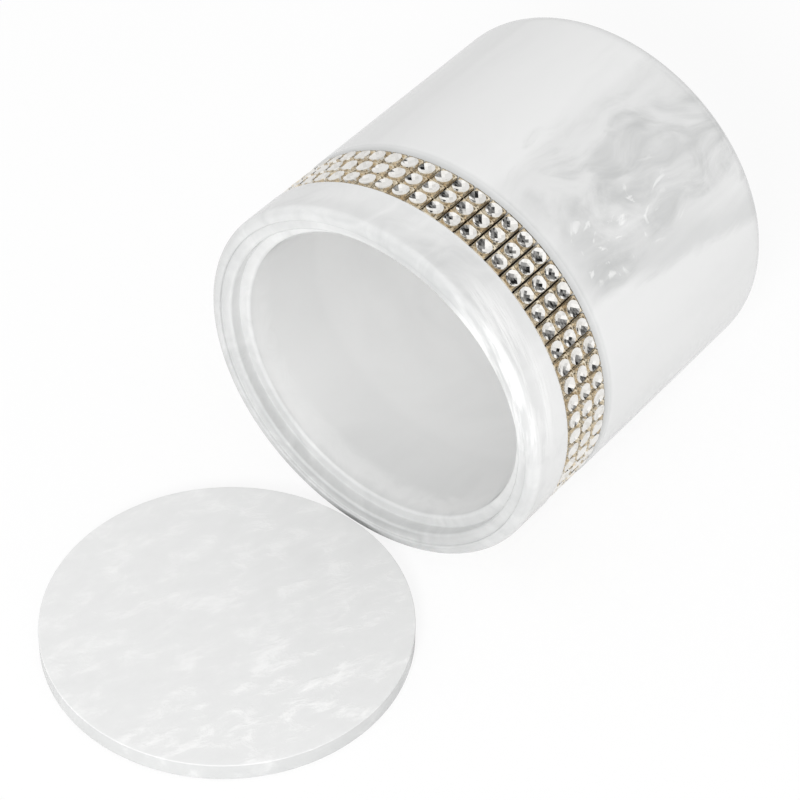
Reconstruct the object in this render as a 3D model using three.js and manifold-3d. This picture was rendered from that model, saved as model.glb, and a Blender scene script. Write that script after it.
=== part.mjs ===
// Cotton swab holder: a thick-walled jar of pearl resin lying on its side, its loose lid flat in front of the
// mouth, and a band of three rows of cut stones let into a groove near the rim.
// Millimetres, +Z up. The jar's axis runs along Y, with its mouth towards -Y and its base towards +Y. The
// origin is on the floor under the jar's axis, midway between the lid's far edge and the jar's base.

import * as THREE from 'three';
import Module from 'manifold-3d';
import { mergeVertices } from 'three/addons/utils/BufferGeometryUtils.js';
import { ConvexGeometry } from 'three/addons/geometries/ConvexGeometry.js';

// Jar
const jarDiameter = 90;
const jarLength = 92;
const wallThickness = 8.3;
const baseThickness = 9;
const rimWall = 3; // wall left outside the seat of the lid
const seatDepth = 0.8; // how far the lid drops into the rim
const stepWidth = 2.7; // ledge round the bore, below the seat
const stepDepth = 4; // from the rim down to that ledge
const rimRound = 2.2;
const lipRound = 0.8; // inner edge of the ledge, where it turns into the bore
const floorRound = 5;
const baseRound = 5.5;

// Lid
const lidThickness = 4.6;
const lidClearance = 0.6; // all round the lid in its seat
const lidEdgeRound = 0.5;
const lidStandoff = 2.4; // from the mouth to the near edge of the lid on the floor
const lidSideShift = 4.5; // the lid lies this far to the -X side of the jar's axis

// Stone band: strips of linked bars, each bar carrying one stone in every row
const bandSetback = 12.3; // from the rim to the groove
const grooveSlack = 1.3; // bare groove left between the band and the wall nearer the base
const stripCount = 31;
const barsPerStrip = 2;
const bandTurnDegrees = 1.5; // the band's joints against the flats of the jar
const stoneRows = 3;
const stoneSides = 8;
const tableShare = 0.55; // flat top of a stone, as a share of its girdle
const stoneCrown = 0.9; // height of a stone above its bar
const stoneGirdle = 0.15; // upright edge of a stone above its bar
const stoneSink = 0.15; // depth of a stone's girdle in its bar
const stoneMargin = 0.1; // metal left on either side of a stone
const stoneRecess = 0.2; // stone tops below the outside of the jar
const barThickness = 0.9;
const barGap = 0.3; // between the undersides of neighbouring bars
const linkLength = 1.6;
const linkThickness = 0.4;
const linkReach = 0.4; // how far a link runs into each bar
const backingThickness = 0.5;
const fitGap = 0.3; // between the layers of the band, and at the walls of the groove

// Facets
const facetsPerStrip = 2;
const lidFacets = 72;
const arcSteps = 3;
const mergeTolerance = 1e-4;

// Sizes that follow from the ones above
const outerRadius = jarDiameter / 2;
const boreRadius = outerRadius - wallThickness;
const stepRadius = boreRadius + stepWidth;
const seatRadius = outerRadius - rimWall;
const lidRadius = seatRadius - lidClearance;
const jarFacets = stripCount * facetsPerStrip;
const stripAngle = (2 * Math.PI) / stripCount;
const barAngle = stripAngle / barsPerStrip;
const stonePitch = outerRadius * barAngle; // the cells are square
const bandWidth = stoneRows * stonePitch;
const grooveWidth = bandWidth + 2 * fitGap + grooveSlack;
const barTop = outerRadius - stoneRecess - stoneCrown;
const barUnderside = barTop - barThickness;
const backingOuterRadius = barUnderside - fitGap;
const backingInnerRadius = backingOuterRadius - backingThickness;
const grooveRadius = backingInnerRadius - fitGap;
const barWidth = 2 * barUnderside * Math.tan(barAngle / 2) - barGap;
const stoneRadius = barWidth / 2 - stoneMargin;

// Places: the jar is turned to rest on a flat of its faceted side, and the ends of the whole lie evenly about Y = 0
const facetAngle = (2 * Math.PI) / jarFacets;
const flatDownTurn = Math.PI - (Math.floor(jarFacets / 2) + 0.5) * facetAngle;
const axisHeight = outerRadius * Math.cos(facetAngle / 2);
const mouthY = (lidStandoff + 2 * lidRadius - jarLength) / 2;
const bandMiddle = bandSetback + fitGap + bandWidth / 2;
const bandTurn = THREE.MathUtils.degToRad(bandTurnDegrees);

const wasm = await Module();
wasm.setup();

// Closed geometry to a solid that can be joined
function toSolid(geometry) {
  const bare = geometry.clone();
  bare.deleteAttribute('normal');
  bare.deleteAttribute('uv');
  const merged = mergeVertices(bare, mergeTolerance);
  const vertProperties = Float32Array.from(merged.getAttribute('position').array);
  const triVerts = Uint32Array.from(merged.getIndex().array);
  return new wasm.Manifold(new wasm.Mesh({ numProp: 3, vertProperties, triVerts }));
}

// Joined solid back to a geometry
function toGeometry(solid) {
  const mesh = solid.getMesh();
  const geometry = new THREE.BufferGeometry();
  geometry.setAttribute('position', new THREE.BufferAttribute(mesh.vertProperties, 3));
  geometry.setIndex(new THREE.BufferAttribute(mesh.triVerts, 1));
  return geometry;
}

// Points of a round in a profile, between two angles about its centre
function arc(centreX, centreY, radius, startAngle, endAngle) {
  const points = [];
  for (let step = 0; step <= arcSteps; step += 1) {
    const angle = startAngle + ((endAngle - startAngle) * step) / arcSteps;
    points.push(new THREE.Vector2(centreX + radius * Math.cos(angle), centreY + radius * Math.sin(angle)));
  }
  return points;
}

// Half section of the jar, distance from the axis against depth behind the mouth: the hollow from its floor out
// over the ledge and the seat to the rim, then the outside with its groove, and the base
function jarGeometry() {
  const quarter = Math.PI / 2;
  const floorDepth = jarLength - baseThickness;
  const grooveEnd = bandSetback + grooveWidth;
  const profile = [
    new THREE.Vector2(0, floorDepth),
    ...arc(boreRadius - floorRound, floorDepth - floorRound, floorRound, quarter, 0),
    ...arc(boreRadius + lipRound, stepDepth + lipRound, lipRound, 2 * quarter, 3 * quarter),
    new THREE.Vector2(stepRadius, stepDepth),
    new THREE.Vector2(stepRadius, seatDepth),
    new THREE.Vector2(seatRadius, seatDepth),
    new THREE.Vector2(seatRadius, 0),
    ...arc(outerRadius - rimRound, rimRound, rimRound, -quarter, 0),
    new THREE.Vector2(outerRadius, bandSetback),
    new THREE.Vector2(grooveRadius, bandSetback),
    new THREE.Vector2(grooveRadius, grooveEnd),
    new THREE.Vector2(outerRadius, grooveEnd),
    ...arc(outerRadius - baseRound, jarLength - baseRound, baseRound, 0, quarter),
    new THREE.Vector2(0, jarLength),
  ];
  return new THREE.LatheGeometry(profile, jarFacets);
}

// A plain disc with a small round on both edges
function lidGeometry() {
  const quarter = Math.PI / 2;
  const edgeCentre = lidRadius - lidEdgeRound;
  const profile = [
    new THREE.Vector2(0, 0),
    ...arc(edgeCentre, lidEdgeRound, lidEdgeRound, -quarter, 0),
    ...arc(edgeCentre, lidThickness - lidEdgeRound, lidEdgeRound, 0, quarter),
    new THREE.Vector2(0, lidThickness),
  ];
  return new THREE.LatheGeometry(profile, lidFacets);
}

// Ribbon on the floor of the groove, as wide as the band
function backingGeometry() {
  const start = bandMiddle - bandWidth / 2;
  const end = bandMiddle + bandWidth / 2;
  const profile = [
    new THREE.Vector2(backingInnerRadius, start),
    new THREE.Vector2(backingOuterRadius, start),
    new THREE.Vector2(backingOuterRadius, end),
    new THREE.Vector2(backingInnerRadius, end),
    new THREE.Vector2(backingInnerRadius, start),
  ];
  return new THREE.LatheGeometry(profile, jarFacets);
}

// A cut stone let into the bar's top: an upright girdle, and above it a crown that breaks into triangular
// facets, because the table is turned half a side from the girdle
function stoneGeometry() {
  const points = [];
  for (let side = 0; side < stoneSides; side += 1) {
    const girdleAngle = (2 * Math.PI * side) / stoneSides;
    const tableAngle = girdleAngle + Math.PI / stoneSides;
    const girdle = new THREE.Vector3(Math.cos(girdleAngle), Math.sin(girdleAngle), 0);
    const table = new THREE.Vector3(Math.cos(tableAngle), Math.sin(tableAngle), 0);
    girdle.multiplyScalar(stoneRadius);
    table.multiplyScalar(stoneRadius * tableShare);
    points.push(girdle.clone().setZ(barTop - stoneSink));
    points.push(girdle.clone().setZ(barTop + stoneGirdle));
    points.push(table.setZ(barTop + stoneCrown));
  }
  return new ConvexGeometry(points);
}

// One bar across the band with its row of stones. It lies along Y, and Z points away from the jar's axis.
function barSolid() {
  const bar = new THREE.BoxGeometry(barWidth, bandWidth, barThickness);
  bar.translate(0, bandMiddle, barUnderside + barThickness / 2);
  const stone = stoneGeometry();
  let solid = toSolid(bar);
  for (let row = 0; row < stoneRows; row += 1) {
    const rowOffset = (row - (stoneRows - 1) / 2) * stonePitch;
    solid = solid.add(toSolid(stone.clone().translate(0, bandMiddle + rowOffset, 0)));
  }
  return solid;
}

// A strip of neighbouring bars round the jar's axis, joined below the stones by a link from each to the next
function stripGeometry() {
  const bar = toGeometry(barSolid());
  const link = new THREE.BoxGeometry(barGap + 2 * linkReach, linkLength, linkThickness);
  link.translate(0, bandMiddle, barUnderside + barThickness / 2);
  const firstAngle = -((barsPerStrip - 1) / 2) * barAngle;
  let solid = toSolid(bar.clone().rotateY(firstAngle));
  for (let index = 1; index < barsPerStrip; index += 1) {
    const angle = firstAngle + index * barAngle;
    solid = solid.add(toSolid(bar.clone().rotateY(angle)));
    solid = solid.add(toSolid(link.clone().rotateY(angle - barAngle / 2)));
  }
  return toGeometry(solid);
}

function pearlResin() {
  return new THREE.MeshStandardMaterial({ color: 0xe3e3e1, roughness: 0.22, metalness: 0 });
}

function darkTape() {
  return new THREE.MeshStandardMaterial({ color: 0x2b2825, roughness: 0.8, metalness: 0 });
}

function setStones() {
  return new THREE.MeshStandardMaterial({ color: 0xcfc9bc, roughness: 0.12, metalness: 0.75 });
}

function namedMesh(name, geometry, material) {
  const mesh = new THREE.Mesh(geometry, material);
  mesh.name = name;
  return mesh;
}

// The jar and all that is fixed to it share one group on the jar's axis, with its mouth at the group's origin
const jar = new THREE.Group();
jar.position.set(0, mouthY, axisHeight);
jar.rotation.y = flatDownTurn;
jar.add(namedMesh('jar_body', jarGeometry(), pearlResin()));
jar.add(namedMesh('band_backing', backingGeometry(), darkTape()));

const strip = stripGeometry();
for (let index = 0; index < stripCount; index += 1) {
  const number = String(index + 1).padStart(2, '0');
  const mesh = namedMesh(`stone_strip_${number}`, strip, setStones());
  mesh.rotation.y = (index + 0.5) * stripAngle + bandTurn;
  jar.add(mesh);
}

const lid = namedMesh('lid', lidGeometry(), pearlResin());
lid.rotation.x = Math.PI / 2;
lid.position.set(-lidSideShift, mouthY - lidStandoff - lidRadius, 0);

const group = new THREE.Group();
group.add(jar, lid);

export default group;
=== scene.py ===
import math
from types import SimpleNamespace

import bpy
import numpy as np
from mathutils import Matrix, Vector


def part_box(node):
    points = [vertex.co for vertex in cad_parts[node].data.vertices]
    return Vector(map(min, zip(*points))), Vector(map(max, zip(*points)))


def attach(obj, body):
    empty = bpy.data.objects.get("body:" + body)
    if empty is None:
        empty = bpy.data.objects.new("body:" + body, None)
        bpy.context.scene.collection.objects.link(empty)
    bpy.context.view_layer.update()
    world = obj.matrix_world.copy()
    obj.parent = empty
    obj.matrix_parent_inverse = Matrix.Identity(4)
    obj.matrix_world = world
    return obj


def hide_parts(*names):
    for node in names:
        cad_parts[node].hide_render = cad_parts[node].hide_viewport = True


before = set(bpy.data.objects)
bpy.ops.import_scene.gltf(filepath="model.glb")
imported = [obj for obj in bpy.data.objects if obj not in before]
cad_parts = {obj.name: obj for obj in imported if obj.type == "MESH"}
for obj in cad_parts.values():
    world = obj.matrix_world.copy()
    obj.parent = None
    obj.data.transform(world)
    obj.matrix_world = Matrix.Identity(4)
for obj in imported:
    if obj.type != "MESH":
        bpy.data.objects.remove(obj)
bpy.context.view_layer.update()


# Jar: one thick casting of pearl resin, turned and polished, lying on its side. Inside the rim are a
# shallow seat for the lid and a deeper ledge round the bore. A groove near the rim takes the stone band,
# and its far wall ends in a gentle slope.
MM = 0.001
jar_low, jar_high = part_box("jar_body")
mouth_y = jar_low.y
axis_z = (jar_low.z + jar_high.z) / 2
jar_length = (jar_high.y - jar_low.y) / MM
outer_radius = axis_z / MM
bore_radius = 36.7
step_radius = 39.4
step_depth = 4.0
seat_radius = 42.0
seat_depth = 0.8
base_thickness = 9.0
floor_depth = jar_length - base_thickness
groove_radius = 41.9
groove_start = 12.3
groove_wall = 26.45
groove_slope_foot = 44.35
groove_end = 27.88
jar_segments = 288
profile_step = 1.5
arc_step = math.radians(9)


def rounded_profile(corners):
    """A half section as points (distance from the axis, depth), in millimetres. Each corner (r, d, round)
    gives way to the arc of that radius that touches both straight runs, with a point every arc_step or
    less, and every straight run is cut into equal lengths no longer than profile_step."""
    corners = np.array(corners, float)
    runs = [corners[:1, :2]]
    for before, corner, after in zip(corners, corners[1:], corners[2:]):
        arrive = corner[:2] - before[:2]
        leave = after[:2] - corner[:2]
        arrive /= np.linalg.norm(arrive)
        leave /= np.linalg.norm(leave)
        side = np.sign(arrive[0] * leave[1] - arrive[1] * leave[0])
        inward = side * np.array([-arrive[1], arrive[0]])
        turn = math.acos(np.clip(arrive @ leave, -1, 1))
        start = corner[:2] - arrive * corner[2] * math.tan(turn / 2)
        angles = np.linspace(0, turn, 1 + math.ceil(turn / arc_step))[:, None]
        runs.append(start + corner[2] * (inward * (1 - np.cos(angles)) + arrive * np.sin(angles)))
    runs.append(corners[-1:, :2])
    points = np.concatenate(runs)
    gaps = np.linalg.norm(np.diff(points, axis=0), axis=1)
    cuts = np.maximum(1, np.ceil(gaps / profile_step)).astype(int)
    pieces = [np.linspace(a, b, n, endpoint=False) for a, b, n in zip(points, points[1:], cuts)]
    return np.concatenate([*pieces, points[-1:]])


def new_piece(name, vertices, faces, smooth):
    """A mesh object at the origin, from vertices in metres and a list of faces, flat or smooth shaded."""
    mesh = bpy.data.meshes.new(name)
    mesh.from_pydata(np.asarray(vertices).tolist(), [], faces)
    mesh.polygons.foreach_set("use_smooth", np.full(len(mesh.polygons), smooth))
    mesh.update()
    piece = bpy.data.objects.new(name, mesh)
    bpy.context.scene.collection.objects.link(piece)
    return piece


def turned_piece(name, profile, segments, place):
    """A surface of revolution: point (i, j) is profile point i carried to angle j * 360 / segments, and
    place turns (distance from the axis, depth, angle) into a point. The profile starts and ends on the
    axis, and each end becomes one point with a fan of triangles round it."""
    ring = profile[1:-1]
    angle = np.arange(segments) * 2 * np.pi / segments
    radius, turn = np.meshgrid(ring[:, 0], angle, indexing="ij")
    depth = np.repeat(ring[:, 1:], segments, axis=1)
    wall = place(radius, depth, turn).reshape(-1, 3)
    ends = place(np.zeros(2), profile[[0, -1], 1], np.zeros(2)).reshape(-1, 3)
    index = np.arange(len(ring) * segments).reshape(len(ring), segments)
    after = np.roll(index, -1, axis=1)
    quads = np.stack([index[:-1], after[:-1], after[1:], index[1:]], -1).reshape(-1, 4)
    first_end = np.full(segments, index.size)
    first_fan = np.stack([first_end, after[0], index[0]], -1)
    last_fan = np.stack([first_end + 1, index[-1], after[-1]], -1)
    faces = quads.tolist() + first_fan.tolist() + last_fan.tolist()
    return new_piece(name, np.concatenate([wall, ends]), faces, True)


def about_jar_axis(radius, depth, turn):
    """(distance from the jar's axis, depth behind the mouth), in millimetres, and the angle from straight
    up towards +X, as a point in metres."""
    return np.stack([
        radius * MM * np.sin(turn),
        mouth_y + depth * MM,
        axis_z + radius * MM * np.cos(turn),
    ], -1)


# Each corner of the half section: distance from the axis, depth behind the mouth, radius of its round
jar_corners = [
    (0, floor_depth, 0),
    (bore_radius, floor_depth, 5.0),
    (bore_radius, step_depth, 0.8),
    (step_radius, step_depth, 0.3),
    (step_radius, seat_depth, 0.7),
    (seat_radius, seat_depth, 0.3),
    (seat_radius, 0, 0.35),
    (outer_radius, 0, 2.2),
    (outer_radius, groove_start, 0.7),
    (groove_radius, groove_start, 0.2),
    (groove_radius, groove_wall, 0.2),
    (groove_slope_foot, groove_wall, 0.15),
    (outer_radius, groove_end, 0.6),
    (outer_radius, jar_length, 5.5),
    (0, jar_length, 0),
]
jar = turned_piece("jar_casting", rounded_profile(jar_corners), jar_segments, about_jar_axis)


def shade(tree, kind, inputs, **properties):
    """One shader node: properties are set on it, and each input takes a link from another node's output
    or a plain value."""
    made = tree.nodes.new(kind)
    for name, value in properties.items():
        setattr(made, name, value)
    for name, value in inputs.items():
        if isinstance(value, bpy.types.NodeSocket):
            tree.links.new(value, made.inputs[name])
        else:
            made.inputs[name].default_value = value
    return made


def blank_material(name):
    """A material with an empty node tree, and that tree."""
    material = bpy.data.materials.new(name)
    material.use_nodes = True
    material.node_tree.nodes.clear()
    return material, material.node_tree


def calc(tree, operation, *values):
    """One step of arithmetic on links or plain values."""
    return shade(tree, "ShaderNodeMath", dict(enumerate(values)), operation=operation).outputs[0]


def vector_calc(tree, operation, *values):
    """One step of arithmetic on vectors, which are links or plain values."""
    return shade(tree, "ShaderNodeVectorMath", dict(enumerate(values)), operation=operation).outputs[0]


def soft_step(tree, value, start, end):
    """Rises smoothly from 0 at start to 1 at end; end may be the smaller of the two."""
    inputs = {"Value": value, "From Min": start, "From Max": end}
    return shade(tree, "ShaderNodeMapRange", inputs, interpolation_type="SMOOTHSTEP").outputs[0]


def overlap(tree, first, *others):
    """Where all of several masks hold: their product."""
    for mask in others:
        first = calc(tree, "MULTIPLY", first, mask)
    return first


def away(tree, value, middle):
    """How far a value lies from middle, on either side."""
    return calc(tree, "ABSOLUTE", calc(tree, "SUBTRACT", value, middle))


def noise(tree, place, scale, detail, roughness=0.5, distortion=0.0):
    """Cloudy noise between 0 and 1, about 0.5 on average, with grains of 1 / scale."""
    inputs = {"Vector": place, "Scale": scale, "Detail": detail, "Roughness": roughness,
              "Distortion": distortion}
    return shade(tree, "ShaderNodeTexNoise", inputs).outputs["Fac"]


def in_grains(tree, place, grain, turn=0.0, middle=(0, 0, 0)):
    """A place counted in grains from middle: turned back by turn about Z, then divided by the grain's size
    along each axis."""
    inputs = {"Vector": place, "Location": middle, "Rotation": (0, 0, turn), "Scale": grain}
    return shade(tree, "ShaderNodeMapping", inputs, vector_type="TEXTURE").outputs[0]


def blend(tree, value, *stops):
    """A colour that runs through the stops, each a position and a colour, as the value rises."""
    ramp = shade(tree, "ShaderNodeValToRGB", {"Fac": value})
    elements = ramp.color_ramp.elements
    for element, (position, colour) in zip(elements, (stops[0], stops[-1])):
        element.position = position
        element.color = (*colour, 1)
    for position, colour in stops[1:-1]:
        elements.new(position).color = (*colour, 1)
    return ramp.outputs[0]


def pearl_skin(tree, tone):
    """Pearl under a clear gloss coat: tone 0 is mica lying edge on, 0.5 the plain resin, 1 mica lying
    flat.
    Painted shade pushes the tone down and painted light pushes it up, into the same colours. The mica also
    tilts the shine a little where the tone changes."""
    mica_edge_on_and_shade = (0.47, 0.48, 0.478)
    plain_resin = (0.85, 0.853, 0.85)
    mica_flat_and_light = (0.985, 0.985, 0.98)
    colour = blend(tree, tone, (0.0, mica_edge_on_and_shade), (0.5, plain_resin), (1.0, mica_flat_and_light))
    lie = shade(tree, "ShaderNodeBump", {"Height": tone, "Strength": 0.2, "Distance": 1.5 * MM})
    skin = shade(tree, "ShaderNodeBsdfPrincipled", {
        "Base Color": colour, "Roughness": 0.42, "Normal": lie.outputs[0],
        "Coat Weight": 1.0, "Coat Roughness": 0.06, "Coat IOR": 1.5,
    })
    shade(tree, "ShaderNodeOutputMaterial", {"Surface": skin.outputs[0]})


def jar_places(tree):
    """Where a point of the jar lies, as links: its place from the middle of the mouth, swirled by slow
    noise, its angle from straight up towards +X, its depth behind the mouth, its distance from the axis,
    its run, which is its depth plus its distance out from side_radius, and its place among the silk lines
    with their fray. Then masks for the side, for the body behind the band and for the collar in front of
    it."""
    swirl_scale, swirl_reach = 32.0, 20 * MM
    silk_grain = (10 * MM, 75 * MM, 10 * MM)
    fray_scale = 2.2
    side_radius = 45 * MM
    side_inner, side_outer = 28 * MM, 41 * MM
    body_start, body_full = 27 * MM, 36 * MM
    collar_end, collar_full = 12.5 * MM, 10.5 * MM
    at = SimpleNamespace()
    point = shade(tree, "ShaderNodeTexCoord", {}).outputs["Object"]
    place = vector_calc(tree, "SUBTRACT", point, (0, mouth_y, axis_z))
    slow = shade(tree, "ShaderNodeTexNoise", {"Vector": place, "Scale": swirl_scale, "Detail": 2.0})
    swirl = vector_calc(tree, "SUBTRACT", slow.outputs["Color"], (0.5, 0.5, 0.5))
    at.swirled = vector_calc(tree, "MULTIPLY_ADD", swirl, (swirl_reach, swirl_reach, swirl_reach), place)
    axes = shade(tree, "ShaderNodeSeparateXYZ", {"Vector": place}).outputs
    at.turn = calc(tree, "ARCTAN2", axes["X"], axes["Z"])
    at.depth = axes["Y"]
    square = calc(tree, "MULTIPLY", axes["X"], axes["X"])
    at.radius = calc(tree, "SQRT", calc(tree, "MULTIPLY_ADD", axes["Z"], axes["Z"], square))
    at.run = calc(tree, "ADD", at.depth, calc(tree, "SUBTRACT", at.radius, side_radius))
    at.silk_place = in_grains(tree, at.swirled, silk_grain)
    at.fray = calc(tree, "SUBTRACT", noise(tree, at.silk_place, fray_scale, 8.0, roughness=0.6), 0.5)
    at.on_side = soft_step(tree, at.radius, side_inner, side_outer)
    at.on_body = overlap(tree, at.on_side, soft_step(tree, at.depth, body_start, body_full))
    at.on_collar = soft_step(tree, at.depth, collar_end, collar_full)
    return at


def silk_lines(tree, at):
    """Tone of the plain resin: noise drawn out along the casting in fine silk lines."""
    silk_low, silk_swing = 0.43, 0.16
    return calc(tree, "MULTIPLY_ADD", noise(tree, at.silk_place, 1.0, 6.0), silk_swing, silk_low)


def dark_cloud(tree, at, tone):
    """One dark cloud on the upper right side, frayed along the silk: darker by cloud_change all over, and
    by fold_change more in its folds, which are distorted noise."""
    cloud_turn, cloud_edge, cloud_core, fray_reach = 0.64, 0.42, 0.16, 0.7
    cloud_start, cloud_full = 22 * MM, 42 * MM
    fold_grain = (12 * MM, 17 * MM, 12 * MM)
    fold_rim, fold_floor = 0.66, 0.32
    cloud_change, fold_change = -0.05, -0.26
    frayed_turn = calc(tree, "MULTIPLY_ADD", at.fray, fray_reach, at.turn)
    across = soft_step(tree, away(tree, frayed_turn, cloud_turn), cloud_edge, cloud_core)
    cloud = overlap(tree, across, soft_step(tree, at.depth, cloud_start, cloud_full), at.on_side)
    folds = noise(tree, in_grains(tree, at.swirled, fold_grain), 1.0, 7.0, roughness=0.55, distortion=0.9)
    folded = soft_step(tree, folds, fold_rim, fold_floor)
    change = calc(tree, "MULTIPLY_ADD", folded, fold_change, cloud_change)
    return calc(tree, "MULTIPLY_ADD", cloud, change, tone)


def drifts(tree, at, tone):
    """Broad drifts of mica, lighter and darker, on the back of the body, on the base and deep in the
    bore."""
    front_turn, drift_start, drift_full = 0.5, 1.2, 1.9
    base_outer, base_inner = 43 * MM, 34 * MM
    body_start, body_full = 26 * MM, 36 * MM
    drift_scale, drift_middle, drift_change = 30.0, 0.52, 0.45
    behind = soft_step(tree, away(tree, at.turn, front_turn), drift_start, drift_full)
    where = calc(tree, "MAXIMUM", behind, soft_step(tree, at.radius, base_outer, base_inner))
    drift = noise(tree, at.swirled, drift_scale, 6.0, distortion=1.2)
    drift = overlap(tree, calc(tree, "SUBTRACT", drift, drift_middle), where)
    change = calc(tree, "MULTIPLY", soft_step(tree, at.depth, body_start, body_full), drift_change)
    return calc(tree, "MULTIPLY_ADD", drift, change, tone)


def long_fold(tree, at, tone, turn_at_mouth, turn_per_metre, fray_reach, rise, fall, change):
    """One long fold in the body of the jar. Its ridge lies at turn_at_mouth plus the depth times
    turn_per_metre, and its change of tone rises and falls between the pairs of angles from that ridge."""
    ridge = calc(tree, "MULTIPLY_ADD", at.depth, turn_per_metre, turn_at_mouth)
    aside = calc(tree, "MULTIPLY_ADD", at.fray, fray_reach, calc(tree, "SUBTRACT", at.turn, ridge))
    fold = overlap(tree, soft_step(tree, aside, *rise), soft_step(tree, aside, *fall), at.on_body)
    return calc(tree, "MULTIPLY_ADD", fold, change, tone)


def low_fold(tree, at, tone):
    """The long dark fold below the cloud."""
    return long_fold(tree, at, tone, turn_at_mouth=0.80, turn_per_metre=5.0, fray_reach=0.16,
                     rise=(-0.24, -0.02), fall=(0.08, 0.0), change=-0.19)


def high_fold(tree, at, tone):
    """The long faint fold above the cloud."""
    return long_fold(tree, at, tone, turn_at_mouth=0.45, turn_per_metre=-4.0, fray_reach=0.3,
                     rise=(-0.09, 0.0), fall=(0.16, 0.0), change=-0.035)


def bright_creases(tree, at, tone):
    """A patch of small bright smears in the cloud, where creased mica lies flat: the peaks of distorted
    noise."""
    crease_grain = (4.2 * MM, 6.2 * MM, 4.2 * MM)
    peak_start, peak_full = 0.56, 0.72
    patch_turn, turn_edge, turn_core = 0.80, 0.22, 0.08
    patch_depth, depth_edge, depth_core = 50 * MM, 22 * MM, 12 * MM
    crease_change = 0.6
    creases = noise(tree, in_grains(tree, at.swirled, crease_grain), 1.0, 3.0, distortion=1.2)
    round_turn = soft_step(tree, away(tree, at.turn, patch_turn), turn_edge, turn_core)
    round_depth = soft_step(tree, away(tree, at.depth, patch_depth), depth_edge, depth_core)
    crest = overlap(tree, soft_step(tree, creases, peak_start, peak_full), round_turn, round_depth)
    return calc(tree, "MULTIPLY_ADD", crest, crease_change, tone)


def collar_mica_and_painted_light(tree, at, tone):
    """Mica of the collar with painted light and shade: feathery bright streaks round its right side,
    partly mica and partly a painted highlight, which fade away from the rim, a duller stretch of painted
    shade on top, and fine mottling, strongest where there are no streaks."""
    feather_grain, feather_slant = (0.45, 2.6 * MM, 1), math.radians(-0.25)
    highlight_streak_turn, streak_edge, streak_core = 1.0, 0.6, 0.2
    streak_start, streak_full = 0.40, 0.66
    fade_end, fade_start = 10.5 * MM, 4.5 * MM
    dull_shade_turn, dull_shade_edge, dull_shade_core = 0.42, 0.75, 0.1
    mottle_scale, mottle_share_in_streaks = 110.0, -0.8
    feather_highlight_change, dull_shade_change, mottle_change = 0.55, -0.10, 0.36
    unrolled = shade(tree, "ShaderNodeCombineXYZ", {"X": at.turn, "Y": at.run}).outputs[0]
    # bright feathery streaks: mica, partly a painted highlight
    feather_and_highlight = noise(tree, in_grains(tree, unrolled, feather_grain, feather_slant), 1.0, 8.0, roughness=0.6)
    highlight_streak_zone = soft_step(tree, away(tree, at.turn, highlight_streak_turn), streak_edge, streak_core)
    feather_and_highlight = overlap(tree, soft_step(tree, feather_and_highlight, streak_start, streak_full), highlight_streak_zone,
                      soft_step(tree, at.run, fade_end, fade_start), at.on_collar)
    tone = calc(tree, "MULTIPLY_ADD", feather_and_highlight, feather_highlight_change, tone)
    # painted shade: a duller stretch on top of the collar
    dull_shade = soft_step(tree, away(tree, at.turn, dull_shade_turn), dull_shade_edge, dull_shade_core)
    tone = calc(tree, "MULTIPLY_ADD", overlap(tree, dull_shade, at.on_collar), dull_shade_change, tone)
    mottle = noise(tree, at.swirled, mottle_scale, 6.0, roughness=0.55, distortion=1.5)
    mottle = calc(tree, "SUBTRACT", mottle, 0.5)
    unstreaked = calc(tree, "MULTIPLY_ADD", highlight_streak_zone, mottle_share_in_streaks, 1.0)
    return calc(tree, "MULTIPLY_ADD", overlap(tree, mottle, at.on_collar, unstreaked), mottle_change, tone)


def painted_groove_shade(tree, at, tone):
    """Painted shade beside the band: greyer resin on the slope, which fades into the body."""
    slope_start, slope_full = 26.0 * MM, 26.4 * MM
    fade_end, fade_start = 29.2 * MM, 26.6 * MM
    slope_inner, slope_outer = 41 * MM, 43 * MM
    slope_shade_change = -0.38
    # painted shade on the slope beside the band
    slope = overlap(tree, soft_step(tree, at.depth, slope_start, slope_full),
                    soft_step(tree, at.depth, fade_end, fade_start),
                    soft_step(tree, at.radius, slope_inner, slope_outer))
    return calc(tree, "MULTIPLY_ADD", slope, slope_shade_change, tone)


def painted_rim_shade(tree, at, tone):
    """Painted shade: greyer resin on the rim with its seat, and on the ledge round the bore, most on its
    lower half."""
    mouth_end, mouth_full = 7.5 * MM, 2.5 * MM
    rim_outer, rim_outer_full = 45.7 * MM, 43.8 * MM
    rim_inner, rim_inner_full = 39.2 * MM, 41.2 * MM
    ledge_outer, ledge_full = 41.2 * MM, 39.6 * MM
    low_start, low_full = 1.5, 2.3
    rim_shade_change, ledge_shade_change, low_half_shade_change = -0.26, -0.15, -0.14
    near_mouth = soft_step(tree, at.depth, mouth_end, mouth_full)
    # painted shade on the rim and its seat
    rim = overlap(tree, soft_step(tree, at.radius, rim_outer, rim_outer_full),
                  soft_step(tree, at.radius, rim_inner, rim_inner_full), near_mouth)
    tone = calc(tree, "MULTIPLY_ADD", rim, rim_shade_change, tone)
    # painted shade on the ledge round the bore, more on its lower half
    ledge = overlap(tree, soft_step(tree, at.radius, ledge_outer, ledge_full), near_mouth)
    low_half_shade = soft_step(tree, calc(tree, "ABSOLUTE", at.turn), low_start, low_full)
    change = calc(tree, "MULTIPLY_ADD", low_half_shade, low_half_shade_change, ledge_shade_change)
    return calc(tree, "MULTIPLY_ADD", ledge, change, tone)


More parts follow.
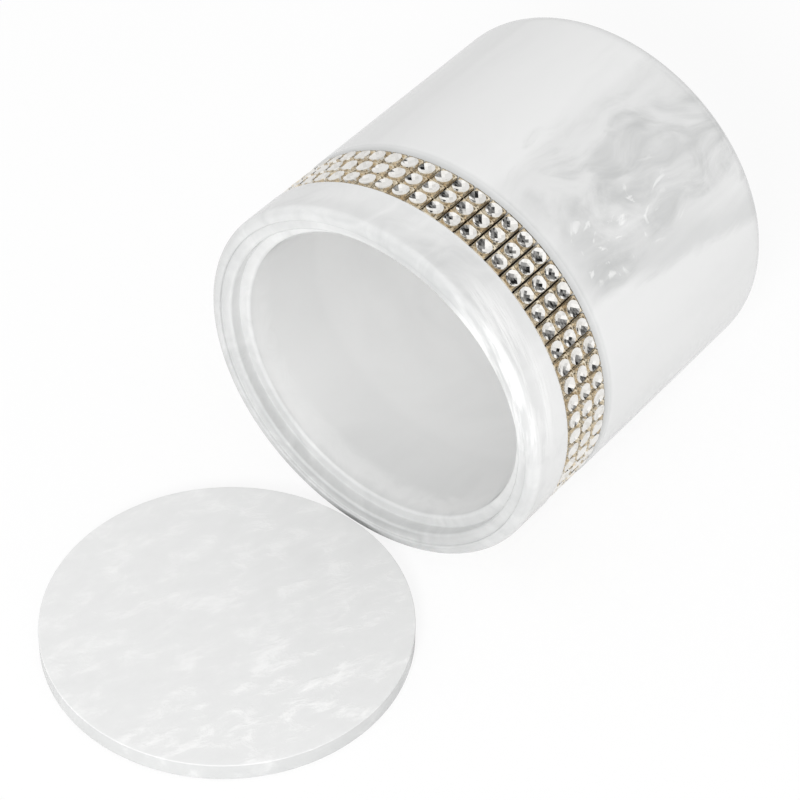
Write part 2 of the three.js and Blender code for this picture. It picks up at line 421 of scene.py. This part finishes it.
def painted_bore_light(tree, at, tone):
    """Painted light inside the bore: even, whiter resin, with painted shade along its bottom towards the
    mouth and a painted shadow where the dark band lies behind the wall."""
    bore_edge, bore_full = 39.5 * MM, 38 * MM
    lip_start, lip_end = 4 * MM, 7 * MM
    floor_end, floor_start = 88 * MM, 85 * MM
    bottom_start, bottom_full = 2.25, 2.75
    bottom_end, bottom_mouth = 55 * MM, 5 * MM
    band_start_edge, band_start_full = 9 * MM, 13 * MM
    band_end_edge, band_end_full = 30 * MM, 26 * MM
    bore_painted_light, bottom_shade_change, band_shadow_change = 0.30, -0.32, -0.10
    # painted light: whiter resin in the bore
    bore = overlap(tree, soft_step(tree, at.radius, bore_edge, bore_full),
                   soft_step(tree, at.depth, lip_start, lip_end),
                   soft_step(tree, at.depth, floor_end, floor_start))
    tone = calc(tree, "MULTIPLY_ADD", bore, bore_painted_light, tone)
    # painted shade along the bottom of the bore towards the mouth
    bottom = overlap(tree, soft_step(tree, calc(tree, "ABSOLUTE", at.turn), bottom_start, bottom_full),
                     soft_step(tree, at.depth, bottom_end, bottom_mouth), bore)
    tone = calc(tree, "MULTIPLY_ADD", bottom, bottom_shade_change, tone)
    # painted shadow of the dark band behind the wall
    band_shadow = overlap(tree, soft_step(tree, at.depth, band_start_edge, band_start_full),
                          soft_step(tree, at.depth, band_end_edge, band_end_full), bore)
    return calc(tree, "MULTIPLY_ADD", band_shadow, band_shadow_change, tone)


def jar_resin(name):
    """Resin of the jar: silk lines first, then each layer changes the tone that it finds: layers of mica,
    and painted light and shade on the collar, the groove slope, the rim and in the bore.
    """
    material, tree = blank_material(name)
    at = jar_places(tree)
    tone = silk_lines(tree, at)
    layers = (dark_cloud, drifts, low_fold, high_fold, bright_creases, collar_mica_and_painted_light, painted_groove_shade, painted_rim_shade,
              painted_bore_light)
    for layer in layers:
        tone = layer(tree, at, tone)
    pearl_skin(tree, tone)
    return material


jar.data.materials.append(jar_resin("pearl_resin_jar"))
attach(jar, "jar")
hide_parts("jar_body")


# Backing of the stone band: a thin dark ribbon laid on the floor of the groove, glued to the resin. Only
# its face shows, as black lines between the setting bars.
backing_inner = 42.2
backing_outer = 42.7
backing_segments = 248
wall_gap = 0.3
band_radius = 45.0
band_start = groove_start + wall_gap
stone_rows = 3
bar_count = 62
bar_angle = 2 * math.pi / bar_count
stone_pitch = band_radius * bar_angle
band_width = stone_rows * stone_pitch


def ribbon_piece(name, inner, outer, start, end, segments):
    """A flat ring about the jar's axis: its four-cornered section is carried round the full circle."""
    section = np.array([(inner, start), (outer, start), (outer, end), (inner, end)], float)
    angle = np.arange(segments) * 2 * np.pi / segments
    radius, turn = np.meshgrid(section[:, 0], angle, indexing="ij")
    depth = np.repeat(section[:, 1:], segments, axis=1)
    points = about_jar_axis(radius, depth, turn).reshape(-1, 3)
    index = np.arange(4 * segments).reshape(4, segments)
    after = np.roll(index, -1, axis=1)
    below, below_after = np.roll(index, -1, axis=0), np.roll(after, -1, axis=0)
    quads = np.stack([index, after, below_after, below], -1).reshape(-1, 4)
    return new_piece(name, points, quads.tolist(), False)


backing = ribbon_piece("band_ribbon", backing_inner, backing_outer, band_start, band_start + band_width,
                       backing_segments)


def dark_ribbon(name):
    """Dark tape: fine noise, the size of its threads, gives a bump and a slight change of tone."""
    thread_scale = 2200.0
    thread_dark, thread_pale = (0.006, 0.0055, 0.005), (0.035, 0.032, 0.028)
    material, tree = blank_material(name)
    place = shade(tree, "ShaderNodeTexCoord", {}).outputs["Object"]
    threads = noise(tree, place, thread_scale, 2.0)
    colour = blend(tree, threads, (0.0, thread_dark), (1.0, thread_pale))
    lie = shade(tree, "ShaderNodeBump", {"Height": threads, "Strength": 0.5, "Distance": 0.2 * MM})
    skin = shade(tree, "ShaderNodeBsdfPrincipled",
                 {"Base Color": colour, "Roughness": 0.85, "Normal": lie.outputs[0]})
    shade(tree, "ShaderNodeOutputMaterial", {"Surface": skin.outputs[0]})
    return material


backing.data.materials.append(dark_ribbon("dark_ribbon"))
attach(backing, "jar")
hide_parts("band_backing")


# Setting bars: narrow stamped bars of champagne metal across the band, one stone wide, with a low wall
# down each side, and a rib with two prongs between each stone and the next. Links under the stones join
# the bars; they don't show and are left out here.
bar_under = 43.0
bar_top = 43.9
bar_gap = 0.38
bar_width = 2 * bar_under * math.tan(bar_angle / 2) - bar_gap
bar_columns = 11
bar_lengths = 73
wall_rise, wall_steepness = 0.22, 10
prong_rise, prong_inset, prong_spread = 0.55, 0.35, 0.3
rib_rise, rib_spread = 0.6, 0.17
first_bar = math.radians(1.5)
bar_turns = first_bar + np.arange(bar_count) * bar_angle
strip_nodes = sorted(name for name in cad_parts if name.startswith("stone_strip"))


def onto_band(across, along, height, turns):
    """Points given across a bar, along it from the band's middle and out from the jar's axis, in
    millimetres, carried to every angle in turns about that axis. The result has one row of points for
    each angle."""
    swing = turns[:, None]
    middle = band_start + band_width / 2
    return np.stack([
        (height * np.sin(swing) + across * np.cos(swing)) * MM,
        mouth_y + (middle + along + 0 * swing) * MM,
        axis_z + (height * np.cos(swing) - across * np.sin(swing)) * MM,
    ], -1)


def bar_points():
    """One bar as closed cross sections along its length. The top is bar_top plus the highest of three: a
    wall that rises as a power of the distance from the middle, and at every place where two stones meet a
    narrow rib and two round prongs, both bell curves. The underside is flat."""
    along = np.linspace(-band_width / 2, band_width / 2, bar_lengths)
    across = np.linspace(bar_width / 2, -bar_width / 2, bar_columns)
    side, length = np.meshgrid(across, along)
    from_edge = np.abs(side) - bar_width / 2
    between = length - stone_pitch * (np.round(length / stone_pitch - 0.5) + 0.5)
    wall = wall_rise * (np.abs(side) / (bar_width / 2)) ** wall_steepness
    from_prong = (from_edge + prong_inset) ** 2 + between ** 2
    prong = prong_rise * np.exp(-from_prong / (2 * prong_spread ** 2))
    rib = rib_rise * np.exp(-between ** 2 / (2 * rib_spread ** 2))
    top = bar_top + np.maximum(np.maximum(wall, prong), rib)
    under_side = np.tile([-bar_width / 2, bar_width / 2], (bar_lengths, 1))
    under = np.full((bar_lengths, 2), bar_under)
    return (np.concatenate([side, under_side], 1), np.concatenate([length, length[:, :2]], 1),
            np.concatenate([top, under], 1))


across, along, height = bar_points()
points = onto_band(across.ravel(), along.ravel(), height.ravel(), bar_turns)
index = np.arange(across.size).reshape(across.shape)
after = np.roll(index, -1, axis=1)
one_bar = np.stack([index[:-1], index[1:], after[1:], after[:-1]], -1).reshape(-1, 4)
starts = np.arange(bar_count)[:, None, None] * index.size
bar_faces = (one_bar + starts).reshape(-1, 4).tolist()
bar_faces += (index[0] + starts[:, 0]).tolist()
bar_faces += (index[-1][::-1] + starts[:, 0]).tolist()
bars = new_piece("setting_bars", points.reshape(-1, 3), bar_faces, True)


def champagne_metal(name):
    """Plated stamping: warm pale gold, with patches of duller and rougher plating."""
    patch_scale = 420.0
    dull_plating, bright_plating = (0.60, 0.47, 0.30), (0.93, 0.85, 0.69)
    dull_roughness, bright_roughness = 0.38, 0.16
    material, tree = blank_material(name)
    place = shade(tree, "ShaderNodeTexCoord", {}).outputs["Object"]
    patches = noise(tree, place, patch_scale, 4.0)
    colour = blend(tree, patches, (0.3, dull_plating), (0.7, bright_plating))
    rough = shade(tree, "ShaderNodeMapRange",
                  {"Value": patches, "To Min": dull_roughness, "To Max": bright_roughness})
    lie = shade(tree, "ShaderNodeBump", {"Height": patches, "Strength": 0.25, "Distance": 0.4 * MM})
    skin = shade(tree, "ShaderNodeBsdfPrincipled", {
        "Base Color": colour, "Metallic": 1.0, "Roughness": rough.outputs[0], "Normal": lie.outputs[0]})
    shade(tree, "ShaderNodeOutputMaterial", {"Surface": skin.outputs[0]})
    return material


bars.data.materials.append(champagne_metal("champagne_metal"))
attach(bars, "jar")
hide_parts(*strip_nodes)


# Stones: cut glass with a silvered back, three to a bar, pressed into the setting with their tops just
# below the outside of the jar. What shows through the clear glass is the back: diagonal rows of square
# facets in a dish. Round it the crown slopes down into the cup in small facets that show its warm metal.
dish_half_across = 1.76
dish_half_along = 1.88
dish_rows = 5
dish_middle = 0.18
dish_radius = 2.75
corner_reach = 0.73
crown_half_across = 1.99
crown_half_along = 2.17
crown_foot = -0.1
stone_lean = math.radians(1.2)
stone_draw = np.random.default_rng(11)
darkest_facet, palest_facet = 0.5, 1
crown_share = 0.58


def stone_shape():
    """One stone. A square net of points, turned by 45 degrees, has its corners cut back to an octagon,
    and every point lies on a dish: its height is dish_middle plus the square of its distance from the
    middle over twice dish_radius. In line with each point of that outline a point of an ellipse lies at
    crown_foot, and one facet of the crown joins each two neighbours to the two below them."""
    line = np.linspace(-1, 1, dish_rows + 1)
    first, second = np.meshgrid(line, line, indexing="ij")
    across = np.clip((first + second) * corner_reach, -1, 1) * dish_half_across
    along = np.clip((first - second) * corner_reach, -1, 1) * dish_half_along
    rise = dish_middle + (across ** 2 + along ** 2) / (2 * dish_radius)
    net = np.stack([across, along, rise], -1).reshape(-1, 3)
    index = np.arange(line.size ** 2).reshape(line.size, line.size)
    dish = np.stack([index[:-1, :-1], index[:-1, 1:], index[1:, 1:], index[1:, :-1]], -1).reshape(-1, 4)
    edge = np.concatenate([index[0, :-1], index[:-1, -1], index[-1, :0:-1], index[:0:-1, 0]])
    bearing = np.arctan2(net[edge, 1], net[edge, 0])
    foot_points = np.stack([crown_half_across * np.cos(bearing), crown_half_along * np.sin(bearing),
                            np.full(edge.size, crown_foot)], -1)
    foot = index.size + np.arange(edge.size)
    crown = np.stack([edge, foot, np.roll(foot, -1), np.roll(edge, -1)], -1)
    return np.concatenate([net, foot_points]), dish, crown, foot


shape, dish_facets, crown_facets, stone_foot = stone_shape()
stone_count = bar_count * stone_rows
lean = stone_draw.normal(0, stone_lean, (2, stone_count, 1))
height = bar_top + shape[:, 2] + lean[0] * shape[:, 0] + lean[1] * shape[:, 1]
row_offset = (np.arange(stone_rows) - (stone_rows - 1) / 2) * stone_pitch
row_place = np.tile(row_offset, bar_count)[:, None]
points = onto_band(shape[:, 0], row_place + shape[:, 1], height, np.repeat(bar_turns, stone_rows))
starts = np.arange(stone_count)[:, None, None] * len(shape)
stone_faces = (dish_facets + starts).reshape(-1, 4).tolist()
dish_count = len(stone_faces)
stone_faces += (crown_facets + starts).reshape(-1, 4).tolist()
stone_faces += (stone_foot[::-1] + starts[:, 0]).tolist()
stones = new_piece("cut_stones", points.reshape(-1, 3), stone_faces, False)
facet_tone = stones.data.attributes.new("facet_tone", "FLOAT", "FACE")
facet_tone_values = stone_draw.uniform(darkest_facet, palest_facet, len(stone_faces))
facet_tone_values[dish_count:] *= crown_share
facet_tone.data.foreach_set("value", facet_tone_values.astype(np.float32))


def silvered_glass(name):
    """Silvered cut glass: each facet is a small mirror, some a little darker than others, and the lowest
    values, round the edge, take the warm colour and duller shine of the cup that holds the stone."""
    cup_shadow, cup_metal = (0.68, 0.56, 0.39), (0.94, 0.86, 0.72)
    grey_silver, bright_silver = (0.80, 0.78, 0.74), (0.97, 0.955, 0.925)
    cup_end, silver_start = 0.42, 0.45
    cup_roughness, silver_roughness = 0.35, 0.05
    material, tree = blank_material(name)
    tone = shade(tree, "ShaderNodeAttribute", {}, attribute_name="facet_tone").outputs["Fac"]
    colour = blend(tree, tone, (0.18, cup_shadow), (cup_end, cup_metal), (silver_start, grey_silver),
                   (0.75, bright_silver))
    rough = shade(tree, "ShaderNodeMapRange", {
        "Value": tone, "From Min": cup_end, "From Max": silver_start,
        "To Min": cup_roughness, "To Max": silver_roughness})
    skin = shade(tree, "ShaderNodeBsdfPrincipled",
                 {"Base Color": colour, "Metallic": 1.0, "Roughness": rough.outputs[0]})
    shade(tree, "ShaderNodeOutputMaterial", {"Surface": skin.outputs[0]})
    return material


stones.data.materials.append(silvered_glass("silvered_glass"))
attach(stones, "jar")


# Lid: a plain disc of the same resin with both edges broken, cast separately. Nothing holds it: it lies
# on the floor in front of the mouth, and drops into the seat inside the rim when the jar stands upright.
lid_low, lid_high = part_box("lid")
lid_x = (lid_low.x + lid_high.x) / 2
lid_y = (lid_low.y + lid_high.y) / 2
lid_radius = (lid_high.y - lid_low.y) / 2 / MM
lid_thickness = lid_high.z / MM
lid_under_round = 0.5
lid_top_round = 0.25
lid_segments = 288


def about_lid_axis(radius, depth, turn):
    """(distance from the lid's upright axis, height), in millimetres, and the angle from +X towards +Y,
    as a point in metres."""
    return np.stack([
        lid_x + radius * MM * np.cos(turn),
        lid_y + radius * MM * np.sin(turn),
        depth * MM + 0 * turn,
    ], -1)


lid_corners = [
    (0, 0, 0),
    (lid_radius, 0, lid_under_round),
    (lid_radius, lid_thickness, lid_top_round),
    (0, lid_thickness, 0),
]
lid = turned_piece("lid_disc", rounded_profile(lid_corners), lid_segments, about_lid_axis)


def lid_resin(name):
    """Resin of the lid: an even pearl ground with short pale flakes, the peaks of noise, that drift one
    way and gather on one side. The edge is greyer with painted shade, and has fewer flakes."""
    flake_grain, flake_turn = (8.5 * MM, 4.6 * MM, 6 * MM), math.radians(66)
    flake_start, flake_full = 0.5, 0.72
    flake_change, gathered_change = 0.20, 0.32
    gather_start, gather_full = -1.0, -6.5
    ground_low, ground_swing = 0.42, 0.14
    edge_top, edge_full = 4.59 * MM, 4.3 * MM
    edge_shade_change, fewer_flakes = -0.24, -0.75
    material, tree = blank_material(name)
    place = shade(tree, "ShaderNodeTexCoord", {}).outputs["Object"]
    drift = in_grains(tree, place, flake_grain, flake_turn, (lid_x, lid_y, 0))
    drift_y = shade(tree, "ShaderNodeSeparateXYZ", {"Vector": drift}).outputs["Y"]
    height = shade(tree, "ShaderNodeSeparateXYZ", {"Vector": place}).outputs["Z"]
    # painted shade on the lid's edge and its rounding
    edge = soft_step(tree, height, edge_top, edge_full)
    flakes = noise(tree, drift, 1.0, 6.0, roughness=0.6, distortion=0.3)
    gathered = soft_step(tree, drift_y, gather_start, gather_full)
    change = calc(tree, "MULTIPLY_ADD", gathered, gathered_change, flake_change)
    change = calc(tree, "MULTIPLY", change, calc(tree, "MULTIPLY_ADD", edge, fewer_flakes, 1.0))
    ground = calc(tree, "MULTIPLY_ADD", flakes, ground_swing, ground_low)
    tone = calc(tree, "MULTIPLY_ADD", soft_step(tree, flakes, flake_start, flake_full), change, ground)
    pearl_skin(tree, calc(tree, "MULTIPLY_ADD", edge, edge_shade_change, tone))
    return material


lid.data.materials.append(lid_resin("pearl_resin_lid"))
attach(lid, "lid")
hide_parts("lid")


# Floor: a plain sheet of white card, laid flat under the jar and the lid. To the camera it is nearly all
# white and keeps only a soft shadow; in reflections it is the matt card itself.
floor_half = 3.0
floor_drop = -0.0002
white_share, white_strength = 0.84, 1.02
card_white = (0.9, 0.9, 0.9, 1)
floor_corners = np.array([(-1, -1), (1, -1), (1, 1), (-1, 1)]) * floor_half
floor = new_piece("floor", np.column_stack([floor_corners, np.full(4, floor_drop)]), [(0, 1, 2, 3)], False)
floor_paint, tree = blank_material("white_sheet")
path = shade(tree, "ShaderNodeLightPath", {})
share = calc(tree, "MULTIPLY", path.outputs["Is Camera Ray"], white_share)
matt = shade(tree, "ShaderNodeBsdfDiffuse", {"Color": card_white})
white = shade(tree, "ShaderNodeEmission", {"Color": (1, 1, 1, 1), "Strength": white_strength})
sheet = shade(tree, "ShaderNodeMixShader", {0: share, 1: matt.outputs[0], 2: white.outputs[0]})
shade(tree, "ShaderNodeOutputMaterial", {"Surface": sheet.outputs[0]})
floor.data.materials.append(floor_paint)


# Studio light: an even white surround and one soft lamp in front, to the right and above. Reflections
# also see a dark mottled card behind the jar on its right, which gives the stones their dark facets, and
# a greyer left wall. The lamp itself doesn't show in them.
fill_strength = 0.715
card_direction = (0.525, 0.557, 0.644)
card_edge, card_full = math.radians(40), math.radians(34)
mottle_scale, mottle_dark, mottle_pale = 11.0, 0.40, 0.62
card_darkest, card_palest = 0.015, 0.36
wall_x, wall_end_x, wall_strength = -0.45, 0.05, 0.80
lamp_eye, lamp_target = (0.45, -1.05, 0.75), (0, 0, 0.04)
lamp_size, lamp_power = 0.3, 9.0
world = bpy.data.worlds.new("studio")
bpy.context.scene.world = world
world.use_nodes = True
tree = world.node_tree
tree.nodes.clear()
ray = shade(tree, "ShaderNodeTexCoord", {}).outputs["Generated"]
facing = shade(tree, "ShaderNodeVectorMath", {0: ray, 1: card_direction}, operation="DOT_PRODUCT")
mottle = noise(tree, ray, mottle_scale, 1.0)
patches = shade(tree, "ShaderNodeMapRange", {
    "Value": mottle, "From Min": mottle_dark, "From Max": mottle_pale,
    "To Min": card_darkest, "To Max": card_palest})
card = shade(tree, "ShaderNodeMapRange", {
    "Value": facing.outputs["Value"], "From Min": math.cos(card_edge), "From Max": math.cos(card_full),
    "To Min": 1.0, "To Max": patches.outputs[0]}, interpolation_type="SMOOTHSTEP")
ray_x = shade(tree, "ShaderNodeSeparateXYZ", {"Vector": ray}).outputs["X"]
wall = shade(tree, "ShaderNodeMapRange", {
    "Value": ray_x, "From Min": wall_x, "From Max": wall_end_x,
    "To Min": wall_strength, "To Max": 1.0})
mirrored_strength = calc(tree, "MULTIPLY", card.outputs[0], wall.outputs[0])
mirrored = shade(tree, "ShaderNodeBackground", {"Color": (1, 1, 1, 1), "Strength": mirrored_strength})
around = shade(tree, "ShaderNodeBackground", {"Color": (1, 1, 1, 1), "Strength": fill_strength})
behind = shade(tree, "ShaderNodeBackground", {"Color": (1, 1, 1, 1), "Strength": 1.0})
path = shade(tree, "ShaderNodeLightPath", {})
lit = shade(tree, "ShaderNodeMixShader",
            {0: path.outputs["Is Glossy Ray"], 1: around.outputs[0], 2: mirrored.outputs[0]})
whole = shade(tree, "ShaderNodeMixShader",
              {0: path.outputs["Is Camera Ray"], 1: lit.outputs[0], 2: behind.outputs[0]})
shade(tree, "ShaderNodeOutputWorld", {"Surface": whole.outputs[0]})


def aimed(eye, target, roll=0.0):
    """Columns right, up and back of something at eye that looks at target, turned by roll about its line
    of sight: back is from target to eye, right is level, and up is square to both."""
    back = (np.array(eye) - target) / np.linalg.norm(np.array(eye) - target)
    right = np.cross((0, 0, 1), back)
    right /= np.linalg.norm(right)
    up = np.cross(back, right)
    turned_right = right * math.cos(roll) + up * math.sin(roll)
    turned_up = up * math.cos(roll) - right * math.sin(roll)
    pose = np.eye(4)
    pose[:3] = np.column_stack([turned_right, turned_up, back, eye])
    return Matrix(pose.tolist())


lamp = bpy.data.lights.new("front_lamp", "AREA")
lamp.size = lamp_size
lamp.energy = lamp_power
front_lamp = bpy.data.objects.new("front_lamp", lamp)
bpy.context.scene.collection.objects.link(front_lamp)
front_lamp.matrix_world = aimed(lamp_eye, lamp_target)
front_lamp.visible_glossy = False


# Camera: a long lens above the mouth and to its right, looking down into the jar, as the photograph is
# taken. Its place, lens and slight roll were fitted to the outlines of the jar, the lid and the band.
aim = np.array([0.0059, 0.0006, 0.0418])
azimuth, elevation, roll = math.radians(36.15), math.radians(43.332), math.radians(1.576)
distance = 0.6592
towards = np.array([math.sin(azimuth) * math.cos(elevation), -math.cos(azimuth) * math.cos(elevation),
                    math.sin(elevation)])
lens = bpy.data.cameras.new("camera")
lens.sensor_width = 36.0
lens.lens = 135.42
lens.clip_start, lens.clip_end = 0.05, 20.0
camera = bpy.data.objects.new("camera", lens)
bpy.context.scene.collection.objects.link(camera)
camera.matrix_world = aimed(aim + towards * distance, aim, roll)
bpy.context.scene.camera = camera
bpy.context.scene.view_settings.view_transform = "Standard"
